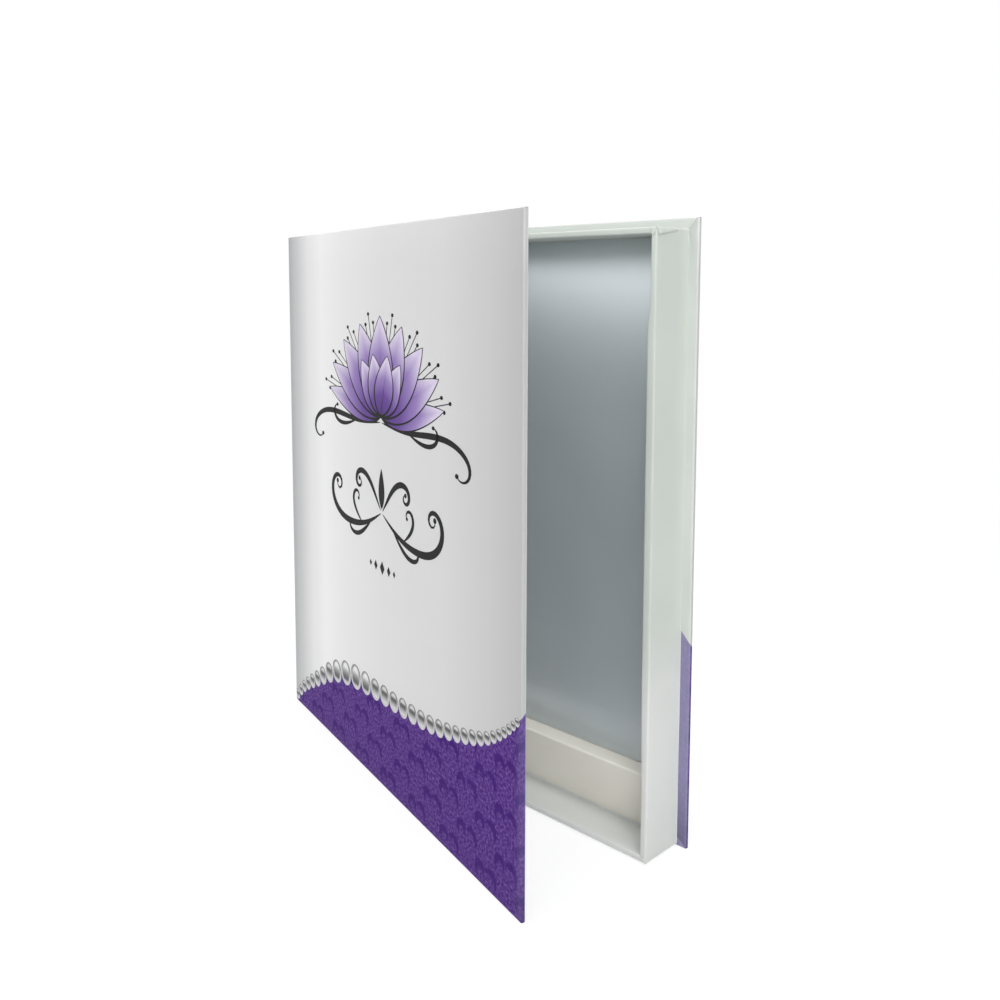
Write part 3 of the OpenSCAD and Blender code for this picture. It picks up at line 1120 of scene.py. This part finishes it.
def tray_loop(inset, depth):
    """Places once round the tray, with the paper's waves, its slack and the rim's seams."""
    r = max(RIM_OUTER_R - inset, CORNER_LEAST_R) if inset < WALL_T else CORNER_INNER_R
    x0, x1 = TRAY_LOW.x + inset, TRAY_HIGH.x - inset
    z0, z1 = TRAY_LOW.z + inset, TRAY_HIGH.z - inset
    on_rim = RIM_OUTER_R < inset < WALL_T - 0.05 * MM
    places = []
    for x, z, groove in tray_outline(x0, x1, z0, z1, r, RIM_SEAM_DEPTH if on_rim else 0):
        wave = WALL_WAVE * noise.noise(Vector((x / MM / 17, z / MM / 17, inset / MM * 0.8)))
        near_corner = min(abs(x - x0), abs(x - x1)) + min(abs(z - z0), abs(z - z1))
        free = smooth_step(near_corner, *WAVES_FROM)
        on_fore_wall = abs(x - x1) < SAME_PLACE
        on_side = on_fore_wall or abs(x - x0) < SAME_PLACE
        if on_fore_wall:
            x -= rim_slack(z, inset, depth)
        if on_side:
            x += wave * free
        else:
            z += wave * free
        lift = RIM_WAVE * noise.noise(Vector((x / MM / 9, z / MM / 9, 5))) * free
        near_rim = inset > RIM_OUTER_R / 2 and depth < 1 * MM
        places.append(Vector((x, RIM_Y + (depth + groove + (lift if near_rim else 0)), z)))
    return places


def tray_paper_piece(grid, name, thickness, flip=False):
    piece = grid.piece(name, [TRAY_PAPER], 50, flip)
    add_thickness(piece, thickness)
    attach(piece, "tray")
    return piece


def paper_tray():
    grid = Grid()
    loops = [[grid.point(p) for p in tray_loop(*step)] for step in tray_profile()]
    grid.sheet([loop + loop[:1] for loop in loops])
    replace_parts(tray_paper_piece(grid, "tray_paper", TRAY_PAPER_T), "tray_wrap")


paper_tray()

# Pleats in the tray's paper at the corners of the fore-edge wall: four corners each, as distance
# in from the wall's outer face, depth behind the rim, distance in from the tray's top or bottom,
# and distance off the paper, all in mm
PLEATS = {
    "pleat_top_rim": (True, "front", [
        (0.15, 0, 0.25, 0.05), (1.65, 0, 0.35, 0.10), (1.5, 0, 2.3, 0.32), (0.3, 0, 1.5, 0.06),
    ]),
    "pleat_top_side": (True, "side", [
        (0, 0.5, 0.3, 0.04), (0, 9.5, 0.35, 0.05), (0, 9.5, 0.75, 0.12), (0, 0.5, 2.0, 0.34),
    ]),
    "pleat_bottom_rim": (False, "front", [
        (0.1, 0, 0.2, 0.05), (1.6, 0, 0.3, 0.10), (1.3, 0, 1.7, 0.28), (0.2, 0, 1.9, 0.06),
    ]),
}
PLEAT_STEPS = 6
PLEAT_CURL = 0.05 * MM
PLEAT_T = 0.04 * MM


def pleat_corner(corner, at_top, face):
    inset, depth, down, off = (value * MM for value in corner)
    x, y = TRAY_HIGH.x - inset, RIM_Y + depth
    z = TRAY_HIGH.z - down if at_top else TRAY_LOW.z + down
    return Vector((x, y - off, z)) if face == "front" else Vector((x + off, y, z))


def pleat(name, at_top, face, corners):
    a, b, c, d = (pleat_corner(corner, at_top, face) for corner in corners)
    grid = Grid()
    rows = []
    for t in steps(0, 1, PLEAT_STEPS):
        curl = PLEAT_CURL * math.sin(math.pi * t)
        out = Vector((0, -curl, 0)) if face == "front" else Vector((curl, 0, 0))
        left, right = a.lerp(d, t), b.lerp(c, t)
        rows.append([grid.point(left.lerp(right, s) + out) for s in steps(0, 1, PLEAT_STEPS)])
    grid.sheet(rows)
    tray_paper_piece(grid, name, PLEAT_T, flip=(face == "front") != at_top)


for pleat_name, settings in PLEATS.items():
    pleat(pleat_name, *settings)

# Folded card ledge

LEDGE_CARD_T = 0.5 * MM
LEDGE_STATIONS = 28
# Radii at the ledge's foot, fold and top back edge, outside and inside
LEDGE_OUTER_R = (0.15 * MM, 0.55 * MM, 0.3 * MM)
LEDGE_INNER_R = (0.1 * MM, 0.15 * MM, 0.1 * MM)
# How far the front, the top and the foot bulge
LEDGE_BULGES = (0.22 * MM, 0, 0)
LEDGE_SAG = 0.12 * MM
LEDGE_WAVE = 0.05 * MM
LEDGE_SETBACK = 0.05 * MM
LEDGE_ROUND_STEPS = 5
LEDGE_SIDE_STEPS = 8


def rounded_corner(before, corner, after, r):
    """Centre of the round at a corner, and the ways from it to the round's two ends."""
    back = (before - corner).normalized()
    on = (after - corner).normalized()
    half = math.acos(back.dot(on)) / 2
    centre = corner + (back + on).normalized() * (r / math.sin(half))
    reach = r / math.tan(half)
    return centre, corner + back * reach - centre, corner + on * reach - centre


def ledge_outline(corners, radii):
    """Closed outline with rounded corners and bulging sides."""
    # With three corners, the second one back is the next
    rounds = [
        rounded_corner(corners[k - 1], corners[k], corners[k - 2], radii[k]) for k in range(3)
    ]
    outline = []
    for k, (centre, start, end) in enumerate(rounds):
        whole = start.angle(end)
        turns = steps(0, 1, LEDGE_ROUND_STEPS)
        outline += [centre + turned(start, end, whole, t) for t in turns]
        next_centre, next_start, _ = rounds[k - 2]
        a, b = centre + end, next_centre + next_start
        side = quarter_turn(b - a).normalized()
        for t in steps(0, 1, LEDGE_SIDE_STEPS)[1:-1]:
            outline.append(a.lerp(b, t) - side * LEDGE_BULGES[k] * 4 * t * (1 - t))
    return outline


def ledge_place(t, out, up, rise):
    """A place on the ledge, a share of the way along it, with its waves and its sag."""
    x = LEDGE_LOW.x + (LEDGE_HIGH.x - LEDGE_LOW.x) * t
    free = min(1, out / MM)
    sag = LEDGE_SAG * math.sin(math.pi * t) * smooth_step(up, 0.7 * rise, rise)
    wave = LEDGE_WAVE * noise.noise(Vector((x / MM / 21, up / MM / 9, 3))) * free
    return x, FLOOR_Y - out - wave + LEDGE_SETBACK * free, LEDGE_LOW.z + up - sag


def folded_ledge():
    _, proud, rise = LEDGE_HIGH - LEDGE_LOW
    # Foot, fold and top back edge: how far out from the floor, and how high
    corners = [Vector((0, 0)), Vector((proud, rise)), Vector((0, rise))]
    inside_r = (rise + proud - math.hypot(rise, proud)) / 2
    centre = Vector((inside_r, rise - inside_r))
    inner = [centre + (c - centre) * (1 - LEDGE_CARD_T / inside_r) for c in corners]
    grid = Grid()
    shells = []
    for outline in (ledge_outline(corners, LEDGE_OUTER_R), ledge_outline(inner, LEDGE_INNER_R)):
        rings = []
        for t in steps(0, 1, LEDGE_STATIONS):
            ring = [grid.point(ledge_place(t, out, up, rise)) for out, up in outline]
            rings.append(ring + ring[:1])
        shells.append(rings)
    outside, inside = shells
    grid.sheet(outside)
    for a, b in zip(inside, inside[1:]):
        grid.strip(b, a)
    grid.strip(inside[0], outside[0])
    grid.strip(outside[-1], inside[-1])
    piece = grid.piece("folded_ledge", [CARD], 35)
    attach(piece, "tray")
    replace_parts(piece, "card_ledge")


folded_ledge()

# Lining paper that runs through the two folds

LINING_T = 0.03 * MM
LINING_END = 3 * MM
LINING_STEPS = 12
# Gaps under the lining, and beside it at the fold's mitre
LINING_CLEARANCE = 0.04 * MM
LINING_GAP = 0.07 * MM
# Depths of the creases, down into the fold and up again
SPINE_CREASES = (1.05 * MM, 0.5 * MM)
LEAF_CREASES = (0.5 * MM, 1.0 * MM)
# Distances from a fold where the lining lies flat, on the spine and on each cover
SPINE_REACHES = (6 * MM, 4 * MM)
FRONT_REACH = 6 * MM
BACK_REACH = 2.05 * MM


def lining_section(leaf, depth, reach):
    """Places in plan from the spine's inner face down into the fold and out onto the leaf."""
    on_spine = LINED_T + LINING_CLEARANCE
    on_leaf = depth + LINING_CLEARANCE
    spine_side = [(u, on_spine) for u in (*SPINE_REACHES, LINED_T + LINING_GAP)]
    spine_side += [(w + LINING_GAP, w) for w in SPINE_CREASES]
    leaf_side = [(w + LINING_GAP, w) for w in LEAF_CREASES]
    leaf_side += [(depth + LINING_GAP, on_leaf), (reach, on_leaf)]
    sides = [(leaf.spine, spine_side), (leaf, leaf_side)]
    return [side.at(u, w, 0) for side, creases in sides for u, w in creases]


def fold_lining(name, leaf, depth, reach, flip):
    section = lining_section(leaf, depth, reach)
    grid = Grid()
    heights = steps(LINING_END, COVER_H - LINING_END, LINING_STEPS)
    grid.sheet([[grid.point((p.x, p.y, z)) for p in section] for z in heights])
    piece = grid.piece(name, [LINING_PAPER], 30, flip)
    add_thickness(piece, LINING_T)
    blend_over_fold(piece, leaf)


fold_lining("front_fold_lining", front_leaf, LINED_T, FRONT_REACH, flip=False)
fold_lining("back_fold_lining", back_leaf, COVER_T, BACK_REACH, flip=True)

# Room and light

# Place, size and power, all aimed at the middle of the case
SOFTBOXES = {
    "key": ((0.686, -0.277, 1.04), (0.3, 0.3), 2.5),
    "front": ((0.60, -0.80, 0.85), (0.9, 0.7), 3.45),
    "left": ((-0.55, -0.75, 0.82), (0.7, 0.7), 2.8),
    "top": ((0.10, -0.15, 1.30), (0.5, 0.5), 4.4),
    "low": ((0.75, -0.55, 0.20), (0.4, 0.3), 1.8),
    "back": ((-0.60, 0.95, 0.70), (0.8, 0.6), 5.5),
}
AMBIENT = 0.38
FLOOR_HALF_W = 4
FLOOR_DROP = 0.05 * MM
# Share of the floor's white that doesn't depend on the light
FLOOR_LIFT = 0.72
# Distances from the middle between which the floor's shadows fade out
FLOOR_CLEAR_R = (0.22, 0.55)
FLOOR_GREY = srgb(155)


def floor_look():
    """White to the camera and in reflections, and still darkened by the object's shadow."""
    look = Look("pale_floor")
    seen = look.seen()
    far = look.add("VectorMath", operation="LENGTH", Vector=look.place()).outputs["Value"]
    away = look.times(look.between(far, *FLOOR_CLEAR_R), seen)
    cloud = look.ramp(look.noise(look.place(), 3, 2), [(0.4, 228), (0.6, 230)])
    colour = look.mix(away, look.mix(seen, cloud, FLOOR_GREY), srgb(0))
    lift = look.times(seen, FLOOR_LIFT)
    lift = look.math("MULTIPLY_ADD", away, 1 - FLOOR_LIFT, lift)
    return look.surface(
        Base_Color=colour, Roughness=0.9, Specular_IOR_Level=0,
        Emission_Color=(1, 1, 1, 1), Emission_Strength=lift,
    )


def add_floor():
    half = FLOOR_HALF_W
    grid = Grid()
    corners = [(-half, -half, 0), (half, -half, 0), (half, half, 0), (-half, half, 0)]
    grid.face([grid.point(corner) for corner in corners])
    floor = grid.piece("floor", [floor_look()])
    floor.location.z = -FLOOR_DROP
    floor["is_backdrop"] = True


def add_world():
    """White to the camera and in reflections, and a plain dimmer light on the object."""
    world = bpy.data.worlds.new("studio")
    world.use_nodes = True
    bpy.context.scene.world = world
    light = Nodes(world.node_tree)
    strength = light.between(light.seen(), 0, 1, AMBIENT, 1)
    light.set(light.tree.nodes["Background"], Strength=strength, Color=(1, 1, 1, 1))


add_camera()
for side, settings in SOFTBOXES.items():
    add_softbox(side + "_softbox", *settings)
add_floor()
add_world()

# CAD nodes that show as they are

# Looks by a node's whole name or by its last word
CAD_LOOKS = {
    "tray_base_board": TRAY_PAPER, "tray_wrap": TRAY_PAPER, "wrap": SILVER, "board": BOARD,
    "wall": BOARD, "lining": LINING_PAPER, "sheet": STEEL, "ledge": CARD, "magnets": MAGNET,
}
for node_name, node in nodes.items():
    look = CAD_LOOKS.get(node_name) or CAD_LOOKS[node_name.split("_")[-1]]
    slots = node.data.materials
    for index in range(len(slots)):
        slots[index] = look

bpy.context.scene.view_settings.view_transform = "Standard"
boxes = {"cad": cad_box, "visual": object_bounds()}
{name: [list(corner) for corner in box] for name, box in boxes.items()}
